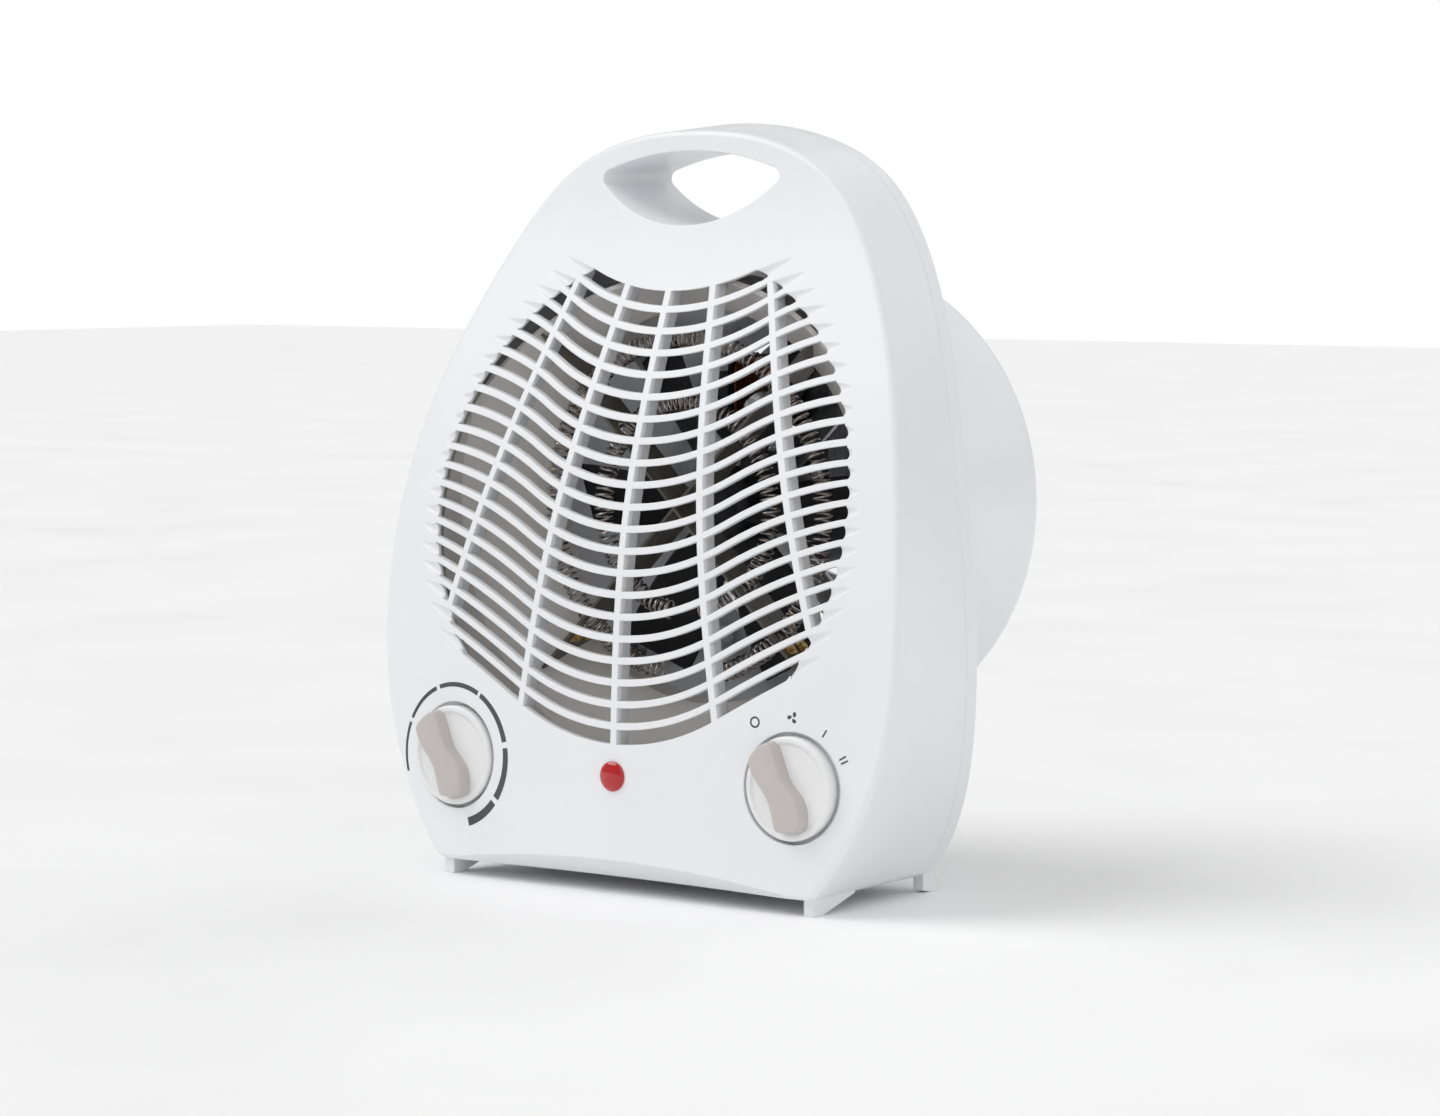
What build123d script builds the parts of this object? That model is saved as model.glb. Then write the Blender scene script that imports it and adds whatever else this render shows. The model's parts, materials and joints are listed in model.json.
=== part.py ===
from build123d import *
from math import atan2, cos, degrees, hypot, radians, sin, sqrt
import os

# Household fan heater with a leaning front shell, two front knobs and a carrying handle.
# Frame: +X to the right seen from the front, -Y towards the user, +Z up, origin on the floor
# under the middle of the whole box.  Millimetres.

os.makedirs("parts", exist_ok=True)

# ---------------------------------------------------------------- driving dimensions
WALL = 2.4                 # moulded wall of both shells
Y_PLANE = -70.0            # plane of the widest, extrapolated front outline
Y_SEAM = 4.0               # where the front shell meets the rear cover
Y_FLANGE = 13.0            # back face of the rear cover around the round bump
Y_BACK = 70.0              # back face of the bump
BODY_FLOOR = 5.5           # underside of the shells, held up by the feet
FAN_Z = 129.0              # height of the fan axis
FACE_RADIUS = 900.0        # horizontal crown of the front panel

# Half outlines (x, z) from the lower corner to the top, at the front plane and at the seam.
FRONT_HALF = [(81, BODY_FLOOR), (98.2, 30), (110, 60), (113.6, 95), (110.8, 140), (101.8, 180),
              (78.8, 218), (54.5, 241), (29.2, 251), (0, 252)]
SEAM_HALF = [(77, BODY_FLOOR), (89.5, 30), (94.3, 60), (94.3, 95), (90.3, 140), (84.7, 180),
             (73.8, 218), (57.5, 242), (30, 255.8), (0, 260)]
CORNER_R = 5.0             # lower corners of both outlines
CREASE_R = 2.0             # soft edge round the front panel

# Leaning centre line of the front panel, (z, y).
LEAN = [(-5, -67.0), (40, -66.8), (80, -65.4), (110, -62.8), (140, -57.3), (170, -48.6),
        (200, -37.9), (230, -28.2), (265, -23.2)]

# Grille.
OPENING_R = 87.5           # round air opening in the panel
OPENING_Z = 130.0
SLOTS = 21
TOP_EDGE = 202.8           # upper edge of the top slot on the centre line
PITCH = 7.33
BAR = 2.4
WAVE_R = 86.0              # radius of the sagging middle of every bar
WAVE_X = 42.0              # where the middle arc turns into the outer one
WAVE_END = 96.0
OUTER_CURVATURE = 1 / 107.0
RIB_WIDTH = 2.6
RIB_DEPTH = 6.5
RIB_FAN = [0.0, 0.165, 0.32]            # sideways slope of the middle, inner and outer ribs
RIB_X = [0.0, 18.6, 42.5]               # their distance from the middle at the top
RIB_TOP = 203.0

# Handle hole: an eye between two arcs.
HANDLE_X = 40.3
HANDLE_CORNER_Z = 242.5
HANDLE_TOP_Z = 250.3
HANDLE_LOW_Z = 224.9
HANDLE_WALL = 2.0

# Controls.
KNOB_X = 72.5
KNOB_Z = 42.0
KNOB_R = 17.2
RECESS_R = 18.5
RECESS_Y = -60.8
KNOB_FACE_Y = -66.0
GRIP_FACE_Y = -70.0
DISH = 0.6                 # depth of the knob's dished face
SPINDLE_R = 3.0
LAMP_Z = 40.5
LAMP_R = 4.6

# Fan, heater and motor along Y.
COIL_Y = -27.0
COIL_RADII = (36.0, 58.0)
COIL_TUBE_R = 3.6
FAN_R = 62.0
SHAFT_R = 2.5
SHAFT_PLAY = 0.05
STACK_Y = (21.0, 35.0)
SPIDER_Y = (12.5, 14.5)
POST_R = 76.0

DUCT_LUG_X = 84.5
DUCT_FLANGE_Y = (-8.0, -6.0)
LUG_BOSS_R = 3.4
LUG_BOSS_Y = -29.0

FEATHER_MIN = 5.0          # tapered groove at the middle slots
FEATHER_GROWTH = 13.0      # and how much longer it is at the top and bottom slots
FEATHER_LIFT = 0.9
LIP_R = 1045.0             # arched lower lip of the front panel
LIP_TILT = 40.0
LIP_Z = 11.5
BUSH_R = 4.2
LAMP_BACK_Y = -60.0
SCREW_R = 1.6
SMALL_SCREW_R = 1.2
BOSS_R = 4.2
BOSS_Y = -22.0
FOOT_X = 77.7

# Rear cover.
BUMP_R = 88.0              # round bump where it leaves the cover
BUMP_BACK_R = 82.0
INTAKE_RINGS = 9
INTAKE_FIRST = 14.0
INTAKE_PITCH = 6.2
INTAKE_SLOT = 3.6
POST_ANGLES = (45, 135, 225, 315)

# Duct, element, fan and motor.
DUCT_R = 90.0
THROAT_R = 68.0
DUCT_WALL = 1.6
MICA = 1.0
COIL_ARC = 340.0
HUB_R = 13.0
BLADES = 6
ROTOR_R = 10.6
BEARING_R = 5.0
MOTOR_SCREW_X = 19.0

# Grip outline on each side of the knob's centre, in knob radii.
GRIP_RIGHT = [(-0.28, 0.98), (-0.14, 0.62), (0.05, 0.15), (0.38, -0.2), (0.46, -0.6), (0.36, -0.82)]
GRIP_LEFT = [(-0.86, 0.56), (-0.66, 0.16), (-0.36, -0.2), (-0.24, -0.55), (-0.18, -0.86)]

# Mains inlet and connections.
GLAND_R = 5.0
CORD_R = 3.4
CLAMP_X = 8.0
HEAD_R = 3.4
TERMINAL_X = -26.0
HOUSING_SCREWS = [(79, 36), (-79, 36), (60, 213), (-60, 213), (0, 13)]
GLAND_X, GLAND_Z = -60.0, 24.0


# ---------------------------------------------------------------- helpers
def xz(y):
    """Vertical plane facing the user at depth y; its local axes are X and Z."""
    return Plane.XZ.offset(-y)


def bar(x, z, radius, y0, y1, mode=Mode.ADD):
    """Round bar along Y from y0 back to y1."""
    with BuildSketch(xz(y1)) as section:
        with Locations((x, z)):
            Circle(radius)
    extrude(section.sketch, amount=y1 - y0, mode=mode)


def slab(x, z, width, height, y0, y1, mode=Mode.ADD, corner=0.0, turn=0.0):
    """Block along Y from y0 back to y1, centred on x, z."""
    with BuildSketch(xz(y1)) as section:
        with Locations(Location((x, z, 0), (0, 0, turn))):
            if corner:
                RectangleRounded(width, height, corner)
            else:
                Rectangle(width, height)
    extrude(section.sketch, amount=y1 - y0, mode=mode)


def polar(radius, angle):
    """Point round the fan axis; the angle is seen from the front, from +X towards +Z."""
    return radius * cos(radians(angle)), FAN_Z + radius * sin(radians(angle))


def outline(half, y, inset=0.0):
    """Closed body outline at depth y, moved inwards by inset."""
    left = [(-x, z) for x, z in reversed(half[:-1])]
    edge = Spline(*half, *left)
    points = list(half) + left
    if inset:
        places = [k / 40 for k in range(41)]
        points = [edge @ u + Vector(-(edge % u).Y, (edge % u).X) * inset for u in places]
    with BuildSketch(xz(y)) as section:
        with BuildLine():
            side = Spline(*points)
            Line(side @ 1, side @ 0)
        make_face()
        if inset:
            with Locations((0, BODY_FLOOR + inset)):
                Rectangle(300, 300, align=(Align.CENTER, Align.MIN), mode=Mode.INTERSECT)
        fillet(section.vertices(), radius=CORNER_R - inset)
    return section.sketch


def lean_block(depth=0.0):
    """Everything behind the leaning, crowned front surface, moved back by depth."""
    reach = 130.0
    sag = reach ** 2 / (2 * FACE_RADIUS)
    sections = []
    for z, y in LEAN:
        front = y + depth
        with BuildSketch(Plane.XY.offset(z)) as level:
            with BuildLine():
                crown = ThreePointArc((-reach, front + sag), (0, front), (reach, front + sag))
                Polyline(crown @ 1, (reach, 100), (-reach, 100), crown @ 0)
            make_face()
        sections.append(level.sketch)
    with BuildPart() as block:
        loft(sections)
    return block.part


def eye(y, grow=0.0):
    """Section of the handle hole at depth y."""
    with BuildSketch(xz(y)) as section:
        with BuildLine():
            top = ThreePointArc((HANDLE_X, HANDLE_CORNER_Z), (0, HANDLE_TOP_Z),
                                (-HANDLE_X, HANDLE_CORNER_Z))
            ThreePointArc(top @ 1, (0, HANDLE_LOW_Z), top @ 0)
        make_face()
        fillet(section.vertices(), radius=3)
        if grow:
            offset(amount=grow)
    return section.sketch


def rise(x, z):
    """Height of the bar line through (0, z) above its middle, at a distance x from the middle."""
    if x <= WAVE_X:
        return WAVE_R - sqrt(WAVE_R ** 2 - x ** 2)
    sine = WAVE_X / WAVE_R
    cosine = sqrt(1 - sine ** 2)
    inner = WAVE_R * (1 - cosine)
    curvature = OUTER_CURVATURE * min((z - 40) / 90, 1.0)
    outer_sine = sine - curvature * (x - WAVE_X)
    return inner + (sqrt(1 - outer_sine ** 2) - cosine) / curvature


def wave_line(z):
    """Bar line through (0, z) as five points from left to right for three tangent arcs."""
    halfway = (WAVE_X + WAVE_END) / 2
    right = [(x, z + rise(x, z)) for x in (WAVE_X, halfway, WAVE_END)]
    left = [(-x, y) for x, y in right]
    arcs = [ThreePointArc(*reversed(left)), ThreePointArc(left[0], (0, z), right[0]),
            ThreePointArc(*right)]
    return arcs[0] @ 0, arcs[-1] @ 1


def rib_x(k, z):
    """Distance of rib k from the middle at height z."""
    return RIB_X[k] + RIB_FAN[k] * (RIB_TOP - z)


def rib_sketch(y, low=0.0, high=260.0, half=RIB_WIDTH / 2):
    """Five fanned ribs between two heights, in the plane at depth y."""
    with BuildSketch(xz(y)) as section:
        for k in range(3):
            for side in (-1, 1):
                a, b = rib_x(k, low), rib_x(k, high)
                corners = [(side * (a - half), low), (side * (a + half), low),
                           (side * (b + half), high), (side * (b - half), high)]
                if k or side == 1:
                    with BuildLine():
                        Polyline(*corners, close=True)
                    make_face()
    return section.sketch


def slot_sketch(y):
    """All air slots between the bars, cut by the round opening and the ribs."""
    with BuildSketch(xz(y)) as section:
        for k in range(SLOTS):
            high = TOP_EDGE - k * PITCH
            low = high - (PITCH - BAR)
            with BuildLine():
                lower_left, lower_right = wave_line(low)
                upper_left, upper_right = wave_line(high)
                Line(lower_left, upper_left)
                Line(lower_right, upper_right)
            make_face()
        with Locations((0, OPENING_Z)):
            Circle(OPENING_R, mode=Mode.INTERSECT)
        add(rib_sketch(y), mode=Mode.SUBTRACT)
    return section.sketch


def face_point(x, z):
    """Point of the front panel's surface at x, z."""
    hits = lean_front.find_intersection_points(Axis((x, -200, z), (0, 1, 0)))
    return min((hit[0] for hit in hits), key=lambda point: point.Y)


def feather(k, side):
    """Tapered groove that carries slot k past the round opening, on one side."""
    middle = TOP_EDGE - k * PITCH - (PITCH - BAR) / 2
    x = 0.0
    while hypot(x, middle + rise(x, middle) - OPENING_Z) < OPENING_R - 1.0:
        x += 0.25
    length = FEATHER_MIN + FEATHER_GROWTH * abs(k - (SLOTS - 1) / 2) / ((SLOTS - 1) / 2)
    start = face_point(side * x, middle + rise(x, middle))
    end = face_point(side * (x + length), middle + rise(x + length, middle))
    along = (end - start).normalized()
    plane = Plane(start + Vector(0, -FEATHER_LIFT, 0), z_dir=along)
    from_start = (Align.CENTER, Align.CENTER, Align.MIN)
    spike = Cone((PITCH - BAR) / 2, 0.15, (end - start).length, align=from_start, mode=Mode.PRIVATE)
    return plane * spike


def lip_sketch(radius):
    """Section of the large tilted cylinder that shapes the arched lower lip."""
    tilt = radians(LIP_TILT)
    centre = (0, LEAN[1][1] - LIP_R * sin(tilt), LIP_Z - LIP_R * cos(tilt))
    with BuildSketch(Plane(centre, x_dir=(1, 0, 0), z_dir=(0, cos(tilt), -sin(tilt)))) as section:
        Circle(radius)
    return section.sketch


def write(part, name):
    """Label a finished piece and write its STEP file."""
    part.part.label = name
    export_step(part.part, f"parts/{name}.step")


# ---------------------------------------------------------------- body forms
lean_front = lean_block()

with BuildPart() as body_form:
    loft([outline(FRONT_HALF, Y_PLANE), outline(SEAM_HALF, Y_SEAM)], ruled=True)
    add(lean_front, mode=Mode.INTERSECT)
    fillet(body_form.faces().sort_by(Axis.Y)[0].edges(), radius=CREASE_R)

with BuildPart() as cavity_form:
    loft([outline(FRONT_HALF, Y_PLANE, WALL), outline(SEAM_HALF, Y_SEAM, WALL)], ruled=True)
    extrude(outline(SEAM_HALF, Y_SEAM + 1, WALL), amount=1)
    add(lean_block(WALL + 0.2), mode=Mode.INTERSECT)
    extrude(eye(Y_SEAM + 1, HANDLE_WALL), amount=120, mode=Mode.SUBTRACT)
    extrude(lip_sketch(LIP_R + WALL), amount=60, both=True, mode=Mode.SUBTRACT)

with BuildPart() as core_form:
    # Middle of the wall: trims what is moulded on to the inside of the shell.
    loft([outline(FRONT_HALF, Y_PLANE, WALL / 2), outline(SEAM_HALF, Y_SEAM, WALL / 2)], ruled=True)
    add(lean_block(WALL / 2), mode=Mode.INTERSECT)

with BuildPart() as rib_form:
    extrude(rib_sketch(-20, 40, 212, RIB_WIDTH / 2 - 0.2), amount=60)
    add(lean_block(1.0), mode=Mode.INTERSECT)
    add(lean_block(RIB_DEPTH), mode=Mode.SUBTRACT)
    bar(0, OPENING_Z, OPENING_R + 1, -90, 0, mode=Mode.INTERSECT)
    bar(0, LAMP_Z, LAMP_R + 2, -90, 0, mode=Mode.SUBTRACT)

with BuildPart() as inner_mouldings:
    # Pads behind the knobs and the lamp.
    for side in (-1, 1):
        bar(side * KNOB_X, KNOB_Z, RECESS_R + WALL, -75, RECESS_Y + 3)
    bar(0, LAMP_Z, LAMP_R + 3, -75, LAMP_BACK_Y)
    # Bosses for the rear screws and for the duct, tied to the nearest wall.
    for x, z in HOUSING_SCREWS:
        bar(x, z, BOSS_R, BOSS_Y, Y_SEAM)
        if x:
            slab(x + (16 if x > 0 else -16), z, 32, WALL, BOSS_Y, Y_SEAM)
        else:
            slab(x, z - 5, WALL, 10, BOSS_Y, Y_SEAM)
    for side in (-1, 1):
        bar(side * DUCT_LUG_X, FAN_Z, LUG_BOSS_R, LUG_BOSS_Y, DUCT_FLANGE_Y[0])
        slab(side * (DUCT_LUG_X + 6), FAN_Z, 12, WALL, LUG_BOSS_Y, DUCT_FLANGE_Y[0])
    add(core_form.part, mode=Mode.INTERSECT)

# ---------------------------------------------------------------- front shell
with BuildPart() as front_shell:
    add(body_form.part)
    # Bevel under the arched lower lip.
    extrude(lip_sketch(LIP_R), amount=60, both=True, mode=Mode.SUBTRACT)
    add(cavity_form.part, mode=Mode.SUBTRACT)
    add(inner_mouldings.part)
    # Recesses for the knobs and holes for the switch bushes and the lamp.
    for side in (-1, 1):
        bar(side * KNOB_X, KNOB_Z, RECESS_R, -90, RECESS_Y, mode=Mode.SUBTRACT)
        bar(side * KNOB_X, KNOB_Z, BUSH_R + 0.1, -90, 0, mode=Mode.SUBTRACT)
        bar(side * DUCT_LUG_X, FAN_Z, SMALL_SCREW_R, -20, DUCT_FLANGE_Y[0], mode=Mode.SUBTRACT)
    bar(0, LAMP_Z, LAMP_R + 0.1, -90, LAMP_BACK_Y + 1, mode=Mode.SUBTRACT)
    for x, z in HOUSING_SCREWS:
        bar(x, z, SCREW_R, -12, Y_SEAM, mode=Mode.SUBTRACT)
    extrude(eye(Y_SEAM + 1), amount=120, mode=Mode.SUBTRACT)
    # Ribs behind the bars, then the air slots and their tapered ends.
    add(rib_form.part)
    extrude(slot_sketch(-20), amount=60, mode=Mode.SUBTRACT)
    add([feather(k, side) for k in range(SLOTS) for side in (-1, 1)], mode=Mode.SUBTRACT)
    # Wedge feet under the front corners.
    for x in (-FOOT_X, FOOT_X):
        with BuildSketch(Plane.YZ.offset(x - 2)):
            with BuildLine():
                Polyline((-61, 0), (-56, 0), (-38, BODY_FLOOR), (-38, 7), (-61, 7), close=True)
            make_face()
        extrude(amount=4)
write(front_shell, "front_shell")

# ---------------------------------------------------------------- rear cover
with BuildPart() as rear_cover:
    extrude(outline(SEAM_HALF, Y_FLANGE), amount=Y_FLANGE - Y_SEAM)
    fillet(rear_cover.faces().sort_by(Axis.Y)[-1].edges(), radius=4)
    # Round bump over the fan and motor.
    with BuildSketch(xz(Y_FLANGE - 2)):
        with Locations((0, FAN_Z)):
            Circle(BUMP_R)
    with BuildSketch(xz(Y_BACK)):
        with Locations((0, FAN_Z)):
            Circle(BUMP_BACK_R)
    loft()
    fillet(rear_cover.faces().sort_by(Axis.Y)[-1].edges(), radius=9)
    # Hollow inside.
    extrude(outline(SEAM_HALF, Y_FLANGE - WALL, WALL), amount=20, mode=Mode.SUBTRACT)
    with BuildSketch(xz(Y_SEAM - 1)):
        with Locations((0, FAN_Z)):
            Circle(BUMP_R - WALL)
    with BuildSketch(xz(Y_BACK - WALL)):
        with Locations((0, FAN_Z)):
            Circle(BUMP_BACK_R - WALL - 3)
    loft(mode=Mode.SUBTRACT)
    # Wall of the handle tunnel, screw wells, posts for the motor mount and bosses for the cord clamp.
    extrude(eye(Y_FLANGE - 1, HANDLE_WALL), amount=Y_FLANGE - 1 - Y_SEAM)
    for x, z in HOUSING_SCREWS:
        bar(x, z, BOSS_R + 1, Y_SEAM, Y_FLANGE - 1)
    for angle in POST_ANGLES:
        bar(*polar(POST_R, angle), 3.6, SPIDER_Y[1], Y_BACK - 4)
    for side in (-1, 1):
        bar(GLAND_X + side * CLAMP_X, GLAND_Z, 2.8, 6, Y_FLANGE - 1)
    extrude(eye(Y_FLANGE + 1), amount=20, mode=Mode.SUBTRACT)
    for x, z in HOUSING_SCREWS:
        bar(x, z, SCREW_R + 0.2, 0, 20, mode=Mode.SUBTRACT)
        bar(x, z, HEAD_R + 0.3, Y_FLANGE - 2.2, 20, mode=Mode.SUBTRACT)
    for angle in POST_ANGLES:
        bar(*polar(POST_R, angle), SCREW_R, SPIDER_Y[1], 26, mode=Mode.SUBTRACT)
    for side in (-1, 1):
        bar(GLAND_X + side * CLAMP_X, GLAND_Z, SMALL_SCREW_R, 6, 11, mode=Mode.SUBTRACT)
    bar(GLAND_X, GLAND_Z, GLAND_R, 0, 20, mode=Mode.SUBTRACT)
    # Ring slots of the air intake, left open between six spokes.
    with BuildSketch(xz(Y_BACK + 1)):
        for k in reversed(range(INTAKE_RINGS)):
            inner = INTAKE_FIRST + k * INTAKE_PITCH
            with Locations((0, FAN_Z)):
                Circle(inner + INTAKE_SLOT)
                Circle(inner, mode=Mode.SUBTRACT)
        with Locations([Location((0, FAN_Z, 0), (0, 0, 60 * k)) for k in range(3)]):
            Rectangle(4, 200, mode=Mode.SUBTRACT)
    extrude(amount=5, mode=Mode.SUBTRACT)
    # Wedge feet at the back.
    for x in (-FOOT_X + 2, FOOT_X - 2):
        with BuildSketch(Plane.YZ.offset(x - 2)):
            with BuildLine():
                Polyline((Y_SEAM, 0.8), (8.5, 0), (12.5, 0), (12.5, 3), (9, 9), (Y_SEAM, 9), close=True)
            make_face()
        extrude(amount=4)
write(rear_cover, "rear_cover")

# ---------------------------------------------------------------- air duct
with BuildPart() as air_duct:
    with BuildSketch(Plane.YZ):
        with BuildLine():
            Polyline((-80, FAN_Z + DUCT_R), (-40, FAN_Z + DUCT_R), (-18, FAN_Z + THROAT_R),
                     (DUCT_FLANGE_Y[1], FAN_Z + THROAT_R), (DUCT_FLANGE_Y[1], FAN_Z + 80),
                     (DUCT_FLANGE_Y[0], FAN_Z + 80), (DUCT_FLANGE_Y[0], FAN_Z + THROAT_R + DUCT_WALL),
                     (-17.4, FAN_Z + THROAT_R + DUCT_WALL), (-39.4, FAN_Z + DUCT_R + DUCT_WALL),
                     (-80, FAN_Z + DUCT_R + DUCT_WALL), close=True)
        make_face()
    revolve(axis=Axis((0, 0, FAN_Z), (0, 1, 0)))
    for side in (-1, 1):
        slab(side * 80, FAN_Z, 14, 11, *DUCT_FLANGE_Y, corner=3)
        bar(side * DUCT_LUG_X, FAN_Z, SMALL_SCREW_R + 0.2, -10, 0, mode=Mode.SUBTRACT)
    add(lean_block(RIB_DEPTH + 0.3), mode=Mode.INTERSECT)
    # Notch round the lamp.
    bar(0, LAMP_Z, 7.2, -90, -42, mode=Mode.SUBTRACT)
write(air_duct, "air_duct")

# ---------------------------------------------------------------- heating element
with BuildPart() as mica_plate:
    # One radial plate in the XY plane, turned and slotted below.
    with BuildSketch():
        with BuildLine():
            Polyline((-82.5, -34), (82.5, -34), (67.6, -19), (-67.6, -19), close=True)
        make_face()
        for radius in COIL_RADII:
            with Locations((radius, COIL_Y), (-radius, COIL_Y)):
                Circle(COIL_TUBE_R + 0.6, mode=Mode.SUBTRACT)
    extrude(amount=MICA / 2, both=True)
for name, turn, front_half in (("mica_plate_rising", -45, True), ("mica_plate_falling", 45, False)):
    with BuildPart() as plate:
        add(mica_plate.part)
        with Locations((0, -30.25 if front_half else -22.75, 0)):
            Box(MICA, 7.5, 3, mode=Mode.SUBTRACT)
    placed = Pos(0, 0, FAN_Z) * Rot(0, turn, 0) * plate.part
    placed.label = name
    export_step(placed, f"parts/{name}.step")

for name, radius in (("inner_heating_coil", COIL_RADII[0]), ("outer_heating_coil", COIL_RADII[1])):
    with BuildPart() as coil:
        with BuildSketch(Plane.YZ):
            with Locations((COIL_Y, FAN_Z - radius)):
                Circle(COIL_TUBE_R)
        revolve(axis=Axis((0, 0, FAN_Z), (0, 1, 0)), revolution_arc=COIL_ARC)
    write(coil, name)


def beside_plate(angle, radius, gap):
    """Plane on the side of a mica plate: its normal stands off the plate, its X axis runs outwards."""
    x, z = polar(radius, angle)
    outward = (cos(radians(angle)), 0, sin(radians(angle)))
    normal = (-sin(radians(angle)), 0, cos(radians(angle)))
    return Plane((x, COIL_Y, z), x_dir=outward, z_dir=normal).offset(gap)


with BuildPart() as thermal_cutout:
    with BuildSketch(beside_plate(45, 47, MICA / 2)):
        Circle(5.5)
    extrude(amount=4)
    with BuildSketch(beside_plate(45, 47, MICA / 2 + 4)):
        Circle(4.4)
    extrude(amount=1.2)
write(thermal_cutout, "thermal_cutout")

with BuildPart() as thermal_fuse:
    with BuildSketch(beside_plate(135, 47, MICA / 2)):
        RectangleRounded(11, 4, 1.2)
    extrude(amount=3)
write(thermal_fuse, "thermal_fuse")

with BuildPart() as element_terminals:
    for angle in (-45, -135):
        for y in (-30, -23):
            with BuildSketch(beside_plate(angle, 65, MICA / 2)):
                with Locations((0, y - COIL_Y)):
                    Rectangle(5, 4.8)
            extrude(amount=0.8)
            with BuildSketch(beside_plate(angle, 65, MICA / 2 + 0.8)):
                with Locations((0, y - COIL_Y)):
                    Circle(1.4)
            extrude(amount=0.9)
write(element_terminals, "element_terminals")

with BuildPart() as duct_screws:
    for side in (-1, 1):
        bar(side * DUCT_LUG_X, FAN_Z, SMALL_SCREW_R, -19, DUCT_FLANGE_Y[1])
        bar(side * DUCT_LUG_X, FAN_Z, 2.4, DUCT_FLANGE_Y[1], DUCT_FLANGE_Y[1] + 1.8)
write(duct_screws, "duct_screws")

# ---------------------------------------------------------------- fan
with BuildPart() as fan_wheel:
    bar(0, FAN_Z, HUB_R, -11, 5)
    fillet(fan_wheel.faces().sort_by(Axis.Y)[0].edges(), radius=4)
    for k in range(BLADES):
        turn = Pos(0, 0, FAN_Z) * Rot(0, 360 / BLADES * k, 0)
        sections = []
        for radius, chord, pitch in ((HUB_R - 3, 13, 48), (38, 24, 32), (FAN_R, 26, 22)):
            plane = Plane((radius, -3.5, 0), x_dir=(0, sin(radians(pitch)), cos(radians(pitch))),
                          z_dir=(1, 0, 0))
            with BuildSketch(plane) as blade_section:
                SlotOverall(chord, 1.4)
            sections.append(turn * blade_section.sketch)
        loft(sections)
    bar(0, FAN_Z, SHAFT_R, -8, 6, mode=Mode.SUBTRACT)
write(fan_wheel, "fan_wheel")

with BuildPart() as motor_shaft:
    bar(0, FAN_Z, SHAFT_R, -8, 47)
write(motor_shaft, "motor_shaft")

with BuildPart() as motor_rotor:
    bar(0, FAN_Z, ROTOR_R, STACK_Y[0] - 1, STACK_Y[1] + 1)
    bar(0, FAN_Z, SHAFT_R, 0, 50, mode=Mode.SUBTRACT)
write(motor_rotor, "motor_rotor")

# ---------------------------------------------------------------- motor
with BuildPart() as motor_stack:
    with BuildSketch(xz(STACK_Y[1])):
        with Locations((0, FAN_Z + 12)):
            RectangleRounded(50, 66, 4)
        with Locations((0, FAN_Z + 25)):
            Rectangle(30, 15, mode=Mode.SUBTRACT)
        with Locations((0, FAN_Z)):
            Circle(ROTOR_R + 0.5, mode=Mode.SUBTRACT)
        with Locations((-MOTOR_SCREW_X, FAN_Z), (MOTOR_SCREW_X, FAN_Z)):
            Circle(SCREW_R + 0.1, mode=Mode.SUBTRACT)
    extrude(amount=STACK_Y[1] - STACK_Y[0])
write(motor_stack, "motor_stack")

COIL_Z = FAN_Z + 38.75
with BuildPart() as motor_bobbin:
    for side in (-1, 1):
        with BuildSketch(Plane.YZ.offset(side * 13.5)):
            with Locations((28, COIL_Z)):
                RectangleRounded(26, 24, 2)
                Rectangle(14.2, 12.7, mode=Mode.SUBTRACT)
        extrude(amount=0.75, both=True)
write(motor_bobbin, "motor_bobbin")

with BuildPart() as motor_winding:
    with BuildSketch(Plane.YZ):
        with Locations((28, COIL_Z)):
            RectangleRounded(24, 22, 4)
            Rectangle(14.2, 12.7, mode=Mode.SUBTRACT)
    extrude(amount=12.7, both=True)
write(motor_winding, "motor_winding")

for name, y0, y1, spacer in (("front_bearing_bracket", 16, 18, (18, 21)),
                             ("rear_bearing_bracket", 38, 40, (35, 38))):
    with BuildPart() as bracket:
        slab(0, FAN_Z, 50, 13, y0, y1, corner=4)
        bar(0, FAN_Z, 7.5, y0 - 1, y1 + 1)
        for side in (-1, 1):
            bar(side * MOTOR_SCREW_X, FAN_Z, 3.6, *spacer)
            bar(side * MOTOR_SCREW_X, FAN_Z, SCREW_R + 0.1, 10, 50, mode=Mode.SUBTRACT)
        bar(0, FAN_Z, BEARING_R, 10, 50, mode=Mode.SUBTRACT)
    write(bracket, name)

for name, y0, y1 in (("front_bearing", 14.6, 19.4), ("rear_bearing", 36.6, 41.4)):
    with BuildPart() as bearing:
        bar(0, FAN_Z, BEARING_R, y0, y1)
        bar(0, FAN_Z, SHAFT_R + SHAFT_PLAY, y0, y1, mode=Mode.SUBTRACT)
    write(bearing, name)

with BuildPart() as motor_mount:
    slab(0, FAN_Z, 56, 26, *SPIDER_Y, corner=5)
    for angle in POST_ANGLES:
        slab(*polar(POST_R / 2 + 4, angle), POST_R - 4, 9, *SPIDER_Y, turn=angle)
        bar(*polar(POST_R, angle), 5.5, *SPIDER_Y)
    bar(0, FAN_Z, 8.6, 10, 20, mode=Mode.SUBTRACT)
    for side in (-1, 1):
        bar(side * MOTOR_SCREW_X, FAN_Z, 3.4, SPIDER_Y[1], 16)
        bar(side * MOTOR_SCREW_X, FAN_Z, SCREW_R + 0.1, 10, 20, mode=Mode.SUBTRACT)
    for angle in POST_ANGLES:
        bar(*polar(POST_R, angle), SCREW_R + 0.2, 10, 20, mode=Mode.SUBTRACT)
write(motor_mount, "motor_mount")

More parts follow.
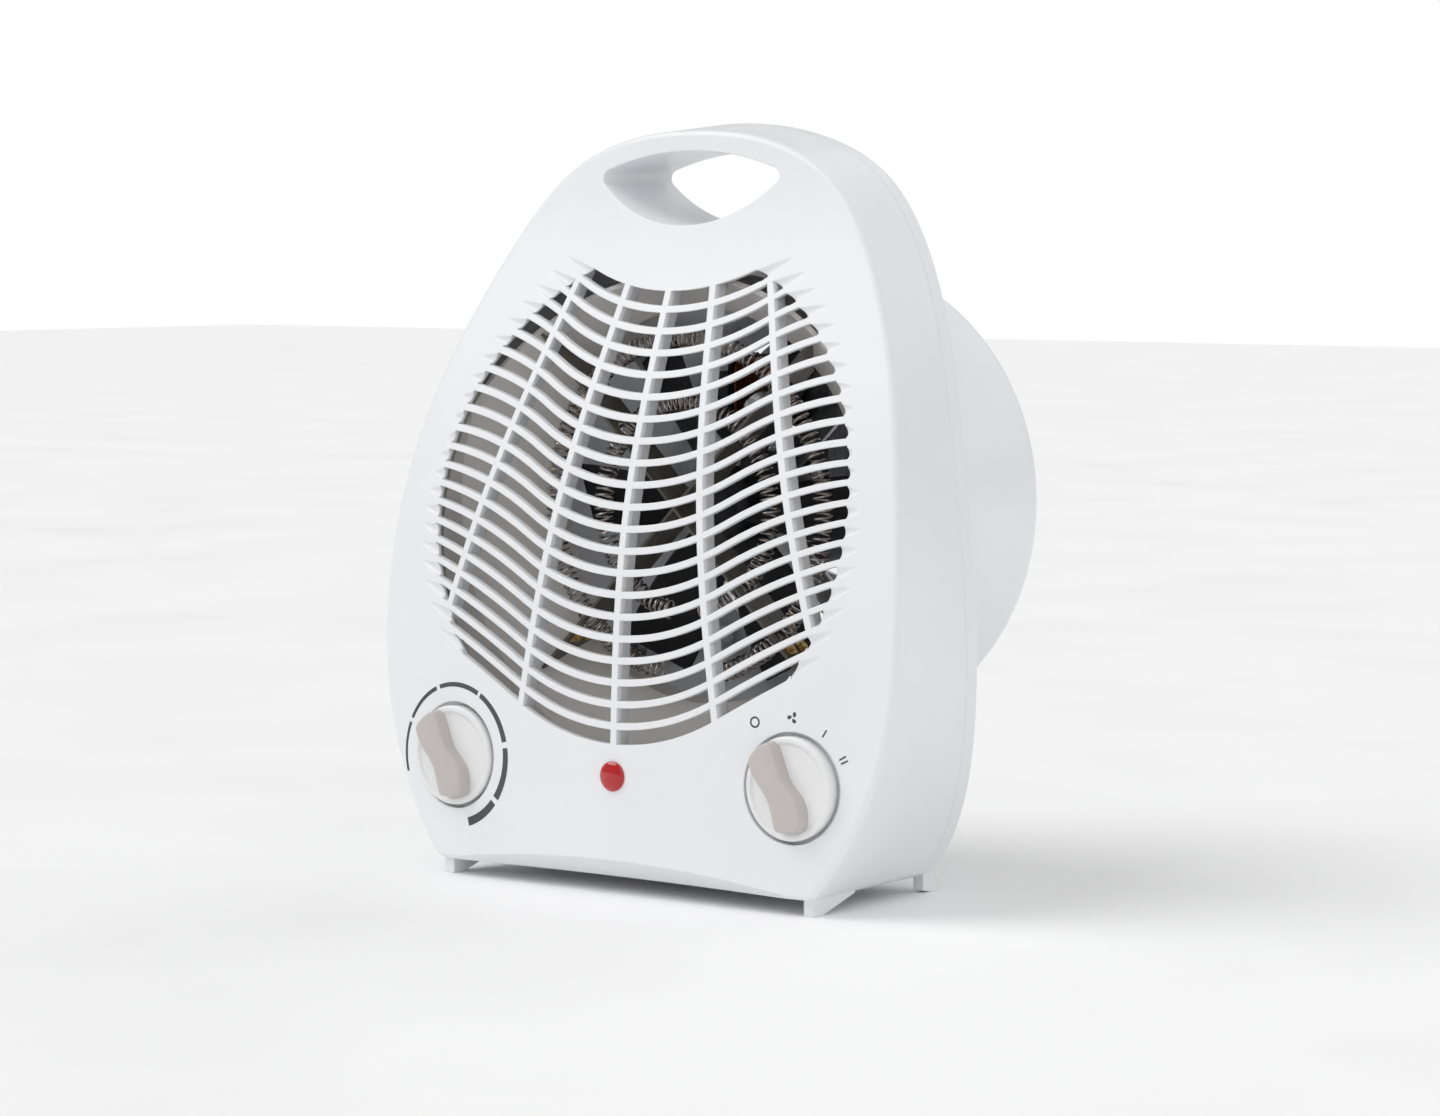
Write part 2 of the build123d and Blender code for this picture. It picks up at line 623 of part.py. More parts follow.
with BuildPart() as motor_screws:
    for side in (-1, 1):
        bar(side * MOTOR_SCREW_X, FAN_Z, SCREW_R, SPIDER_Y[0], 40)
        bar(side * MOTOR_SCREW_X, FAN_Z, 3.0, 40, 42.2)
        bar(side * MOTOR_SCREW_X, FAN_Z, 2.9, SPIDER_Y[0] - 2, SPIDER_Y[0])
write(motor_screws, "motor_screws")

with BuildPart() as mount_screws:
    for angle in POST_ANGLES:
        bar(*polar(POST_R, angle), SCREW_R, SPIDER_Y[0], 25)
        bar(*polar(POST_R, angle), 3.1, SPIDER_Y[0] - 2.2, SPIDER_Y[0])
write(mount_screws, "mount_screws")


def grip_sketch(x, y):
    """S-shaped grip round the knob at x; its wide end is the pointer."""
    with BuildSketch(xz(y)) as section:
        with BuildLine():
            right = Spline(*[(x + KNOB_R * a, KNOB_Z + KNOB_R * b) for a, b in GRIP_RIGHT])
            left = Spline(*[(x + KNOB_R * a, KNOB_Z + KNOB_R * b) for a, b in GRIP_LEFT])
            Line(right @ 0, left @ 0)
            Line(right @ 1, left @ 1)
        make_face()
    return section.sketch


# ---------------------------------------------------------------- controls
for name, side, depth, half_height in (("thermostat", -1, 18, 10), ("selector", 1, 20, 13)):
    x = side * KNOB_X
    with BuildPart() as switch_body:
        slab(x, KNOB_Z, 26, 2 * half_height, RECESS_Y + 3, RECESS_Y + 3 + depth, corner=2)
        bar(x, KNOB_Z, BUSH_R, -63.4, RECESS_Y + 3)
        bar(x, KNOB_Z, SPINDLE_R + SHAFT_PLAY, -70, -44, mode=Mode.SUBTRACT)
        for dx in (-8, 0, 8):
            slab(x + dx, KNOB_Z - 4, 0.8, 4.8, RECESS_Y + 3 + depth, RECESS_Y + 3 + depth + 7)
    write(switch_body, f"{name}_body")

    with BuildPart() as nut:
        with BuildSketch(xz(RECESS_Y)):
            with Locations((x, KNOB_Z)):
                RegularPolygon(6.6, 6)
                Circle(BUSH_R, mode=Mode.SUBTRACT)
        extrude(amount=2.2)
    write(nut, f"{name}_nut")

    with BuildPart() as spindle:
        bar(x, KNOB_Z, SPINDLE_R, -67.6, -44.5)
    write(spindle, f"{name}_spindle")

    with BuildPart() as knob:
        bar(x, KNOB_Z, KNOB_R, KNOB_FACE_Y, RECESS_Y - 0.5)
        fillet(knob.faces().sort_by(Axis.Y)[0].edges(), radius=1.0)
        # Dished face inside the rim and the hollow behind it.
        bar(x, KNOB_Z, KNOB_R - 1.6, KNOB_FACE_Y - 1, KNOB_FACE_Y + DISH, mode=Mode.SUBTRACT)
        bar(x, KNOB_Z, 8.5, -63.9, -60, mode=Mode.SUBTRACT)
        bar(x, KNOB_Z, SPINDLE_R, -90, -60, mode=Mode.SUBTRACT)
        extrude(grip_sketch(x, KNOB_FACE_Y + DISH), amount=2, mode=Mode.SUBTRACT)
    write(knob, f"{name}_knob")

    with BuildPart() as grip:
        extrude(grip_sketch(x, KNOB_FACE_Y + DISH), amount=KNOB_FACE_Y + DISH - GRIP_FACE_Y)
        bar(x, KNOB_Z, SPINDLE_R, -67.6, -60, mode=Mode.SUBTRACT)
    write(grip, f"{name}_grip")

with BuildPart() as bimetal_strip:
    slab(-KNOB_X, KNOB_Z + 12.2, 9, 0.8, -56, -34)
    slab(-KNOB_X, KNOB_Z + 10.9, 9, 1.8, -56, -51)
write(bimetal_strip, "bimetal_strip")

with BuildPart() as lamp_lens:
    bar(0, LAMP_Z, LAMP_R, -68.6, -59)
    fillet(lamp_lens.faces().sort_by(Axis.Y)[0].edges(), radius=1.9)
    bar(0, LAMP_Z, LAMP_R - 1.2, -66, -59, mode=Mode.SUBTRACT)
write(lamp_lens, "lamp_lens")

with BuildPart() as lamp_holder:
    bar(0, LAMP_Z, 6.2, LAMP_BACK_Y, -48)
    bar(0, LAMP_Z, LAMP_R + 0.1, LAMP_BACK_Y, -58.9, mode=Mode.SUBTRACT)
    bar(0, LAMP_Z, 2.6, -62, -50, mode=Mode.SUBTRACT)
write(lamp_holder, "lamp_holder")

with BuildPart() as neon_lamp:
    bar(0, LAMP_Z, 2.5, -65, -50)
write(neon_lamp, "neon_lamp")

# ---------------------------------------------------------------- mains inlet and fasteners
with BuildPart() as cord_gland:
    bar(GLAND_X, GLAND_Z, GLAND_R, 8, Y_FLANGE)
    bar(GLAND_X, GLAND_Z, GLAND_R + 1.6, Y_FLANGE, Y_FLANGE + 2)
    bar(GLAND_X, GLAND_Z, CORD_R, 0, 20, mode=Mode.SUBTRACT)
write(cord_gland, "cord_gland")

with BuildPart() as cord_clamp:
    slab(GLAND_X, GLAND_Z, 2 * CLAMP_X + 7, 8, 3.6, 6, corner=2)
    for side in (-1, 1):
        bar(GLAND_X + side * CLAMP_X, GLAND_Z, SMALL_SCREW_R + 0.2, 0, 10, mode=Mode.SUBTRACT)
write(cord_clamp, "cord_clamp")

with BuildPart() as clamp_screws:
    for side in (-1, 1):
        bar(GLAND_X + side * CLAMP_X, GLAND_Z, SMALL_SCREW_R, 3.6, 10)
        bar(GLAND_X + side * CLAMP_X, GLAND_Z, 2.3, 1.8, 3.6)
write(clamp_screws, "clamp_screws")

with BuildPart() as terminal_block:
    with Locations((TERMINAL_X, -26, BODY_FLOOR + WALL + 7)):
        Box(34, 16, 14)
    for k in range(3):
        with BuildSketch(Plane.XY.offset(BODY_FLOOR + WALL + 14)):
            with Locations((TERMINAL_X - 11 + 11 * k, -26)):
                Circle(2.4)
        extrude(amount=-4, mode=Mode.SUBTRACT)
write(terminal_block, "terminal_block")

with BuildPart() as terminal_screws:
    for k in range(3):
        with BuildSketch(Plane.XY.offset(BODY_FLOOR + WALL + 10)):
            with Locations((TERMINAL_X - 11 + 11 * k, -26)):
                Circle(2.3)
        extrude(amount=2)
write(terminal_screws, "terminal_screws")

with BuildPart() as housing_screws:
    for x, z in HOUSING_SCREWS:
        bar(x, z, SCREW_R, -11, Y_FLANGE - 2.2)
        bar(x, z, HEAD_R, Y_FLANGE - 2.2, Y_FLANGE - 0.4)
        slab(x, z, 4, 1, Y_FLANGE - 1.2, Y_FLANGE, mode=Mode.SUBTRACT)
        slab(x, z, 1, 4, Y_FLANGE - 1.2, Y_FLANGE, mode=Mode.SUBTRACT)
write(housing_screws, "housing_screws")
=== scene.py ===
import json
import math

import bmesh
import bpy
from mathutils import Matrix, Vector
from mathutils.bvhtree import BVHTree


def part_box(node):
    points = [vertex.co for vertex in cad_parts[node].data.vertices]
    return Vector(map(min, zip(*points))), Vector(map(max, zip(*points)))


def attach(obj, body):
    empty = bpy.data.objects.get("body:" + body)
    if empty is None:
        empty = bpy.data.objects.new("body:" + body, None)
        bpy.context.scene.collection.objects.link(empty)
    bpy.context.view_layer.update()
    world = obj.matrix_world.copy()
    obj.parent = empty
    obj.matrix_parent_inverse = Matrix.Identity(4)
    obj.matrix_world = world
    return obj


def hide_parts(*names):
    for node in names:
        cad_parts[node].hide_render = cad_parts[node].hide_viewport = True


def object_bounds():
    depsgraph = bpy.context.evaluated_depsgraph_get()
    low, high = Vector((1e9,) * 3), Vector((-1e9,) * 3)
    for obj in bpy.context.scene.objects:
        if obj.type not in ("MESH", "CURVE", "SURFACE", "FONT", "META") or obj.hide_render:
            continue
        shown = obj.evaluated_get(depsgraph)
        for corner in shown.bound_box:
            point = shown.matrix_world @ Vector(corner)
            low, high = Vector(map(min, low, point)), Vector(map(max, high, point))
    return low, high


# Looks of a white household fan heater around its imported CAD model, in metres.

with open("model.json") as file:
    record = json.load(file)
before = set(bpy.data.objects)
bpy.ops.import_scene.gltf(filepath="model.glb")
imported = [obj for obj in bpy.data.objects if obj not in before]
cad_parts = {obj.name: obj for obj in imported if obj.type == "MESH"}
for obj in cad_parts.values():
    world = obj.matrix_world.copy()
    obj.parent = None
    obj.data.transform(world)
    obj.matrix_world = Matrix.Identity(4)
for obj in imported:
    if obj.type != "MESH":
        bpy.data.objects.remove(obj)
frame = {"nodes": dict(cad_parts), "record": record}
nodes = frame["nodes"]
cad_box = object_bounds()
MM = 0.001

# ---------------------------------------------------------------- driving values
# Knob section, from the outer edge inwards: radius as a share of the knob's, and depth behind its face.
KNOB_RIM = [(1.0, 0.90), (0.995, 0.50), (0.975, 0.20), (0.945, 0.04), (0.915, 0.0), (0.89, 0.04),
            (0.875, 0.16), (0.86, 0.42), (0.82, 0.56), (0.6, 0.6)]
KNOB_HOLLOW = 8.5 * MM
KNOB_FACE = 1.5 * MM             # face plate between the hollow and the dished front
KNOB_BACK_CHAMFER = 0.5 * MM
PINHOLE = 0.02 * MM
SPINDLE_COVER = 0.7 * MM         # how far the spindle's end stays behind the dished front
# Grip outline on both sides of the knob's centre, in knob radii, from the pointer to the tail.
GRIP_RIGHT = [(-0.28, 0.94), (-0.14, 0.62), (0.05, 0.15), (0.38, -0.2), (0.46, -0.6), (0.36, -0.82)]
GRIP_LEFT = [(-0.84, 0.52), (-0.66, 0.16), (-0.36, -0.2), (-0.24, -0.55), (-0.18, -0.84)]
GRIP_EDGE = 1.2 * MM
GRIP_EASING = 22                 # rounds of smoothing of its corners
GRIP_SKIRT = 0.35 * MM           # how far its foot stands out
GRIP_DRAFT = 0.25 * MM
SPINDLE_CHAMFER = 0.4 * MM
GRIP_POINTS = 168
GRIP_REACH = 0.98                # of its pointer end, in knob radii

LENS_FLANGE = 5.1 * MM           # radius of the lamp lens in front of the panel
LENS_RISE = 1.5 * MM

WIRE = 0.42 * MM                 # radius of the resistance wire
COIL_PITCH = 2.3 * MM
COIL_STEPS = 18
COIL_GAP = math.radians(20)
COIL_FILL = 0.94                 # share of the CAD coil's thickness that the wavy turns take
COIL_WAVES = [(0.035, 31, 0.0), (0.025, 77, 1.3)]      # size, number round the ring and start
COPPER_WIRE = 0.3 * MM
COPPER_PITCH = 2.02 * COPPER_WIRE
WINDING_LAYERS = 3
WINDING_CORNER = 4 * MM
WINDING_STEPS = 16               # points in one turn, four round each corner

PRINT_LIFT = 0.05 * MM
PRINT_SINK = 0.03 * MM
DIAL_R = 25.2 * MM
DIAL_SEGMENTS = [(198, 157), (153, 114), (110, 65), (62, 15), (10, -34), (-38.6, -73)]
DIAL_WIDTH = (1.0 * MM, 3.0 * MM)

ROOM_LIGHT = 0.42

CAMERA_AT = Vector((0.9066, -1.1845, 0.2246))
CAMERA_RIGHT = Vector((0.7774, 0.6290, 0.0))
CAMERA_UP = Vector((-0.0491, 0.0607, 0.9969))
CAMERA_LENS = 107.9
CAMERA_SHIFT = (0.0710, 0.0045)


# ---------------------------------------------------------------- mesh helpers
def piece(name, bm, body, material, replaced=(), smooth=50):
    """Object from a bmesh that rides on a CAD body and stands for the replaced nodes."""
    bmesh.ops.recalc_face_normals(bm, faces=bm.faces)
    mesh = bpy.data.meshes.new(name)
    bm.to_mesh(mesh)
    bm.free()
    mesh.materials.append(material)
    mesh.shade_smooth()
    mesh.set_sharp_from_angle(angle=math.radians(smooth))
    made = bpy.data.objects.new(name, mesh)
    bpy.context.scene.collection.objects.link(made)
    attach(made, body)
    if replaced:
        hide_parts(*replaced)
    return made


def skin(bm, rings, closed=False, caps=False):
    """Faces through rings of equally many points; closed joins the last ring to the first one."""
    rows = [[bm.verts.new(point) for point in ring] for ring in rings]
    pairs = list(zip(rows, rows[1:] + rows[:1])) if closed else list(zip(rows, rows[1:]))
    for near, far in pairs:
        for k in range(len(near)):
            after = (k + 1) % len(near)
            bm.faces.new((near[k], near[after], far[after], far[k]))
    if caps:
        ends = [bm.faces.new(rows[0]), bm.faces.new(rows[-1][::-1])]
        bmesh.ops.triangulate(bm, faces=ends)


def wire(bm, path, radius, sides=6):
    """Round wire along a path."""
    rings = []
    across = None
    turns = [2 * math.pi * n / sides for n in range(sides)]
    for k, point in enumerate(path):
        along = (path[min(k + 1, len(path) - 1)] - path[max(k - 1, 0)]).normalized()
        if across is None:
            across = along.orthogonal()
        across = (across - along * across.dot(along)).normalized()
        other = along.cross(across)
        rings.append([point + radius * (math.cos(t) * across + math.sin(t) * other) for t in turns])
    skin(bm, rings, caps=True)


def lathe(bm, centre, profile, steps=96):
    """Closed profile of (radius, y) turned round an axis along Y through centre."""
    rings = []
    for k in range(steps):
        turn = 2 * math.pi * k / steps
        out = Vector((math.cos(turn), 0, math.sin(turn)))
        rings.append([Vector((centre.x, y, centre.z)) + out * r for r, y in profile])
    skin(bm, rings, closed=True)


def curve_through(points, steps=12):
    """Catmull-Rom curve through flat points."""
    ends = [2 * points[0] - points[1]] + points + [2 * points[-1] - points[-2]]
    found = []
    for a, b, c, d in zip(ends, ends[1:], ends[2:], ends[3:]):
        for k in range(steps):
            t = k / steps
            found.append(0.5 * (2 * b + (c - a) * t + (2 * a - 5 * b + 4 * c - d) * t ** 2
                                + (3 * b - a - 3 * c + d) * t ** 3))
    return found + [points[-1]]


def even(loop, count):
    """Closed loop with count points spread evenly along it."""
    lengths = [0.0]
    for a, b in zip(loop, loop[1:] + loop[:1]):
        lengths.append(lengths[-1] + (b - a).length)
    found = []
    k = 0
    for n in range(count):
        target = lengths[-1] * n / count
        while lengths[k + 1] < target:
            k += 1
        share = (target - lengths[k]) / max(lengths[k + 1] - lengths[k], 1e-12)
        found.append(loop[k].lerp(loop[(k + 1) % len(loop)], share))
    return found


def relaxed(loop, rounds):
    """Closed loop with its corners eased."""
    for _ in range(rounds):
        loop = [(a + 2 * b + c) / 4 for a, b, c in zip(loop[-1:] + loop[:-1], loop, loop[1:] + loop[:1])]
    return loop


def inset(loop, distance):
    """Closed anticlockwise loop moved inwards."""
    found = []
    for a, b, c in zip(loop[-1:] + loop[:-1], loop, loop[1:] + loop[:1]):
        along = (c - a).normalized()
        found.append(b + Vector((-along.y, along.x)) * distance)
    return found


# ---------------------------------------------------------------- materials
def link(tree, source, target):
    tree.links.new(source, target)


def live(sockets, name):
    """The enabled socket of that name, where a node has several."""
    return next(socket for socket in sockets if socket.enabled and socket.name == name)


def material(name, colour, second, roughness, metallic=0.0, tone_scale=22.0, grain_scale=1500.0,
             grain=0.05, stretch=(1, 1, 1), soften=0.0, wear=None, specular=0.5):
    """Two close tones, uneven gloss, a fine grain, and edges that are softened and slightly worn."""
    made = bpy.data.materials.new(name)
    made.use_nodes = True
    tree = made.node_tree
    shader = tree.nodes["Principled BSDF"]
    shader.inputs["Metallic"].default_value = metallic
    shader.inputs["Specular IOR Level"].default_value = specular
    place = tree.nodes.new("ShaderNodeTexCoord")
    mapping = tree.nodes.new("ShaderNodeMapping")
    mapping.inputs["Scale"].default_value = stretch
    link(tree, place.outputs["Object"], mapping.inputs["Vector"])

    def noise(scale, detail):
        node = tree.nodes.new("ShaderNodeTexNoise")
        node.inputs["Scale"].default_value = scale
        node.inputs["Detail"].default_value = detail
        link(tree, mapping.outputs["Vector"], node.inputs["Vector"])
        return node.outputs["Fac"]

    def mix(factor, a, b):
        node = tree.nodes.new("ShaderNodeMix")
        node.data_type = "RGBA"
        link(tree, factor, live(node.inputs, "Factor"))
        for value, socket in ((a, live(node.inputs, "A")), (b, live(node.inputs, "B"))):
            if isinstance(value, bpy.types.NodeSocket):
                link(tree, value, socket)
            else:
                socket.default_value = (*value, 1.0)
        return live(node.outputs, "Result")

    def spread(value, from_low, from_high, low, high):
        node = tree.nodes.new("ShaderNodeMapRange")
        link(tree, value, node.inputs["Value"])
        settings = {"From Min": from_low, "From Max": from_high, "To Min": low, "To Max": high}
        for socket, number in settings.items():
            node.inputs[socket].default_value = number
        return node.outputs["Result"]

    tone = mix(spread(noise(tone_scale, 4), 0.35, 0.65, 0, 1), colour, second)
    bump = tree.nodes.new("ShaderNodeBump")
    bump.inputs["Strength"].default_value = grain
    bump.inputs["Distance"].default_value = 0.1 * MM
    link(tree, noise(grain_scale, 3), bump.inputs["Height"])
    if soften:
        bevel = tree.nodes.new("ShaderNodeBevel")
        bevel.samples = 6
        bevel.inputs["Radius"].default_value = soften
        link(tree, bevel.outputs["Normal"], bump.inputs["Normal"])
        if wear:
            geometry = tree.nodes.new("ShaderNodeNewGeometry")
            facing = tree.nodes.new("ShaderNodeVectorMath")
            facing.operation = "DOT_PRODUCT"
            link(tree, bevel.outputs["Normal"], facing.inputs[0])
            link(tree, geometry.outputs["Normal"], facing.inputs[1])
            tone = mix(spread(facing.outputs["Value"], 0.995, 0.9, 0, 0.7), tone, wear)
    link(tree, tone, shader.inputs["Base Color"])
    rough = spread(noise(tone_scale * 3, 5), 0.3, 0.7, roughness * 0.85, roughness * 1.2)
    link(tree, rough, shader.inputs["Roughness"])
    link(tree, bump.outputs["Normal"], shader.inputs["Normal"])
    return made


finishes = {
    "shell_white": material("white_shell_plastic", (0.85, 0.857, 0.875), (0.835, 0.843, 0.865), 0.34,
                            soften=0.6 * MM, wear=(0.9, 0.9, 0.9)),
    "knob_white": material("white_knob_plastic", (0.84, 0.84, 0.84), (0.82, 0.82, 0.825), 0.3,
                           soften=0.3 * MM, wear=(0.9, 0.9, 0.9)),
    "grip_grey": material("warm_grey_grip", (0.56, 0.525, 0.50), (0.53, 0.495, 0.475), 0.42,
                          grain=0.14, soften=0.3 * MM, wear=(0.66, 0.63, 0.6)),
    "duct_grey": material("duct_plastic", (0.80, 0.77, 0.74), (0.74, 0.71, 0.68), 0.4,
                          soften=0.4 * MM, wear=(0.85, 0.82, 0.8)),
    "mica": material("mica_sheet", (0.16, 0.145, 0.125), (0.11, 0.1, 0.088), 0.34, tone_scale=90,
                     stretch=(1, 6, 1), grain=0.2),
    "nichrome": material("nichrome_wire", (0.62, 0.58, 0.55), (0.42, 0.36, 0.34), 0.25, metallic=1.0,
                         tone_scale=70),
    "steel": material("ground_steel", (0.6, 0.6, 0.61), (0.5, 0.5, 0.51), 0.28, metallic=1.0,
                      stretch=(1, 20, 1), tone_scale=120, soften=0.2 * MM),
    "zinc_steel": material("zinc_plate", (0.66, 0.67, 0.69), (0.55, 0.56, 0.58), 0.34, metallic=1.0,
                           tone_scale=160, soften=0.2 * MM),
    "ceramic_white": material("steatite", (0.72, 0.69, 0.62), (0.65, 0.62, 0.55), 0.6, grain=0.25),
    "brass": material("stamped_brass", (0.66, 0.47, 0.2), (0.52, 0.36, 0.15), 0.3, metallic=1.0,
                      tone_scale=120, soften=0.2 * MM),
    "bronze": material("sintered_bronze", (0.45, 0.28, 0.14), (0.34, 0.2, 0.1), 0.45, metallic=1.0,
                       grain=0.3),
    # Enamelled copper in dark brown, darkened below the enamel's own tone as painted shade on the winding
    # deep inside the housing.
    "copper": material("enamelled_copper_painted_shade", (0.3, 0.1, 0.04), (0.2, 0.065, 0.025), 0.3, metallic=0.85,
                       tone_scale=200),
    "lamination": material("laminated_steel", (0.2, 0.2, 0.21), (0.1, 0.1, 0.105), 0.5,
                           metallic=0.8, stretch=(1, 40, 1), tone_scale=40, soften=0.2 * MM),
    "black_plastic": material("black_moulding", (0.012, 0.012, 0.014), (0.02, 0.02, 0.023), 0.45,
                              grain=0.12, soften=0.3 * MM, wear=(0.05, 0.05, 0.055), specular=0.3),
    "lens_red": material("red_lens", (0.5, 0.0, 0.004), (0.4, 0.0, 0.003), 0.12, grain=0.02,
                         specular=0.3),
    "clear_glass": material("neon_glass", (0.8, 0.42, 0.3), (0.7, 0.34, 0.24), 0.08, grain=0.01),
    "rubber_black": material("gland_rubber", (0.03, 0.03, 0.03), (0.05, 0.05, 0.048), 0.6,
                             grain=0.2, soften=0.3 * MM),
}
lens_shader = finishes["lens_red"].node_tree.nodes["Principled BSDF"]
lens_shader.inputs["Coat Weight"].default_value = 1.0
lens_shader.inputs["Coat Roughness"].default_value = 0.04
ink = material("dial_ink", (0.045, 0.047, 0.055), (0.07, 0.072, 0.08), 0.5, grain=0.02)

for part in frame["record"]["subparts"]:
    for holder in nodes[part["node"]].material_slots:
        holder.material = finishes[part["material_slot"]]


# ---------------------------------------------------------------- knobs and grips
def middle(node):
    low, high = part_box(node)
    return (low + high) / 2


def grip_loop(centre, radius):
    """Anticlockwise outline of the S-shaped grip, as seen from the front."""
    right = curve_through([Vector(point) for point in GRIP_RIGHT])
    left = curve_through([Vector(point) for point in GRIP_LEFT])
    top = [right[0].lerp(left[0], k / 8) for k in range(9)]
    top = [point.normalized() * GRIP_REACH for point in top]
    loop = relaxed(even(right[::-1] + top[1:-1] + left, GRIP_POINTS), GRIP_EASING)
    return [Vector((centre.x, centre.z)) + point * radius for point in loop]


for name, body in (("thermostat", "thermostat_control"), ("selector", "selector_control")):
    low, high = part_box(f"{name}_knob")
    centre = (low + high) / 2
    radius = (high.x - low.x) / 2
    profile = [(radius * share, low.y + depth * MM) for share, depth in KNOB_RIM]
    dish = profile[-1][1]
    ceiling = dish + KNOB_FACE
    profile += [(PINHOLE, dish), (PINHOLE, dish + SPINDLE_COVER / 2), (KNOB_HOLLOW, ceiling),
                (KNOB_HOLLOW, high.y), (radius * 0.97, high.y), (radius, high.y - KNOB_BACK_CHAMFER)]
    bm = bmesh.new()
    lathe(bm, centre, profile)
    piece(f"{name}_knob_disc", bm, body, finishes["knob_white"], [f"{name}_knob"])

    spindle_low, spindle_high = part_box(f"{name}_spindle")
    thick = (spindle_high.x - spindle_low.x) / 2
    tip = dish + SPINDLE_COVER
    bm = bmesh.new()
    lathe(bm, centre, [(PINHOLE, tip), (thick - SPINDLE_CHAMFER, tip), (thick, tip + SPINDLE_CHAMFER),
                       (thick, spindle_high.y), (PINHOLE, spindle_high.y)], 32)
    slot = next(p["material_slot"] for p in frame["record"]["subparts"] if p["node"] == f"{name}_spindle")
    piece(f"{name}_turned_spindle", bm, body, finishes[slot], [f"{name}_spindle"])

    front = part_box(f"{name}_grip")[0].y
    loop = grip_loop(centre, radius)
    levels = [(-GRIP_SKIRT, dish + 0.4 * MM), (-GRIP_SKIRT, dish - 0.1 * MM), (0.0, dish - 0.5 * MM)]
    for k in range(7):
        turn = math.pi / 2 * k / 6
        sink = GRIP_EDGE * (1 - math.sin(turn))
        levels.append((GRIP_DRAFT + GRIP_EDGE * (1 - math.cos(turn)), front + sink))
    bm = bmesh.new()
    rings = [[Vector((p.x, y, p.y)) for p in inset(loop, step)] for step, y in levels]
    skin(bm, rings, caps=True)
    piece(f"{name}_grip_moulding", bm, body, finishes["grip_grey"], [f"{name}_grip"])

# ---------------------------------------------------------------- pilot lamp
low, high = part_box("lamp_lens")
centre = (low + high) / 2
radius = (high.x - low.x) / 2
dome = []
for k in range(13):
    turn = math.pi / 2 * k / 12
    dome.append((max(LENS_FLANGE * math.sin(turn), PINHOLE), low.y + LENS_RISE * (1 - math.cos(turn))))
dome += [(LENS_FLANGE, low.y + LENS_RISE + 0.3 * MM), (radius, low.y + LENS_RISE + 0.3 * MM)]
inner = radius - 1.2 * MM
dome += [(radius, high.y), (inner, high.y), (inner, low.y + 3.2 * MM), (PINHOLE, low.y + 3.2 * MM)]
bm = bmesh.new()
lathe(bm, centre, dome, 48)
piece("lamp_dome", bm, "housing", finishes["lens_red"], ["lamp_lens"])

# ---------------------------------------------------------------- heating coils
fan_height = middle("motor_shaft").z
for name in ("inner", "outer"):
    low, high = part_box(f"{name}_heating_coil")
    centre = (low + high) / 2
    small = (high.y - low.y) / 2
    ring = (high.x - low.x) / 2 - small
    arc = 2 * math.pi - COIL_GAP
    steps = round(ring * arc / COIL_PITCH) * COIL_STEPS
    path = []
    for k in range(steps + 1):
        along = -math.pi / 2 + COIL_GAP / 2 + arc * k / steps
        twist = 2 * math.pi * k / COIL_STEPS
        waves = [size * math.sin(along * count + start) for size, count, start in COIL_WAVES]
        turn_radius = (small - WIRE) * COIL_FILL * (1 + sum(waves))
        reach = ring + turn_radius * math.cos(twist)
        path.append(Vector((centre.x + reach * math.cos(along),
                            centre.y + turn_radius * math.sin(twist),
                            fan_height + reach * math.sin(along))))
    bm = bmesh.new()
    wire(bm, path, WIRE)
    piece(f"{name}_coil_wire", bm, "housing", finishes["nichrome"],
          [f"{name}_heating_coil"])

# ---------------------------------------------------------------- motor winding
low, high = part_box("motor_winding")
centre = (low + high) / 2
half = (high - low) / 2
bm = bmesh.new()
for layer in range(WINDING_LAYERS):
    corner = WINDING_CORNER - COPPER_WIRE * (1 + 1.9 * layer)
    count = int(2 * (half.x - COPPER_WIRE) / COPPER_PITCH) - layer
    path = []
    for k in range(count * WINDING_STEPS + 1):
        quarter, step = divmod(k % WINDING_STEPS, 4)
        turn = math.pi / 2 * (quarter + step / 3)
        y = (1, -1, -1, 1)[quarter] * (half.y - WINDING_CORNER) + corner * math.cos(turn)
        z = (1, 1, -1, -1)[quarter] * (half.z - WINDING_CORNER) + corner * math.sin(turn)
        x = -half.x + COPPER_WIRE * (1 + layer) + COPPER_PITCH * k / WINDING_STEPS
        path.append(centre + Vector((x, y, z)))
    wire(bm, path, COPPER_WIRE)
piece("motor_copper_turns", bm, "housing", finishes["copper"], ["motor_winding"])

# ---------------------------------------------------------------- printed dial marks
shell = nodes["front_shell"]
surface = BVHTree.FromPolygons([v.co.copy() for v in shell.data.vertices],
                               [tuple(face.vertices) for face in shell.data.polygons])
start_y = cad_box[0][1] - 0.05


def on_shell(x, z, lift):
    """Point in front of the shell's surface at x, z."""
    hit = surface.ray_cast(Vector((x, start_y, z)), Vector((0, 1, 0)))[0]
    return Vector((x, hit.y - lift, z))


def stroke(bm, line, widths, closed=False):
    """Printed line along flat points, as wide as widths says at each of them."""
    rings = []
    for k, point in enumerate(line):
        before = line[k - 1] if k or closed else line[0]
        after = line[(k + 1) % len(line)] if closed or k + 1 < len(line) else line[k]
        along = (after - before).normalized()
        across = Vector((-along.y, along.x)) * widths[k] / 2
        a, b = point - across, point + across
        rings.append([on_shell(a.x, a.y, PRINT_LIFT), on_shell(b.x, b.y, PRINT_LIFT),
                      on_shell(b.x, b.y, -PRINT_SINK), on_shell(a.x, a.y, -PRINT_SINK)])
    skin(bm, rings, closed=closed, caps=not closed)


def around(centre, radius, angle):
    turn = math.radians(angle)
    return Vector((centre.x + radius * math.cos(turn), centre.z + radius * math.sin(turn)))


def arc(centre, radius, start, end, steps):
    return [around(centre, radius, start + (end - start) * k / steps) for k in range(steps + 1)]


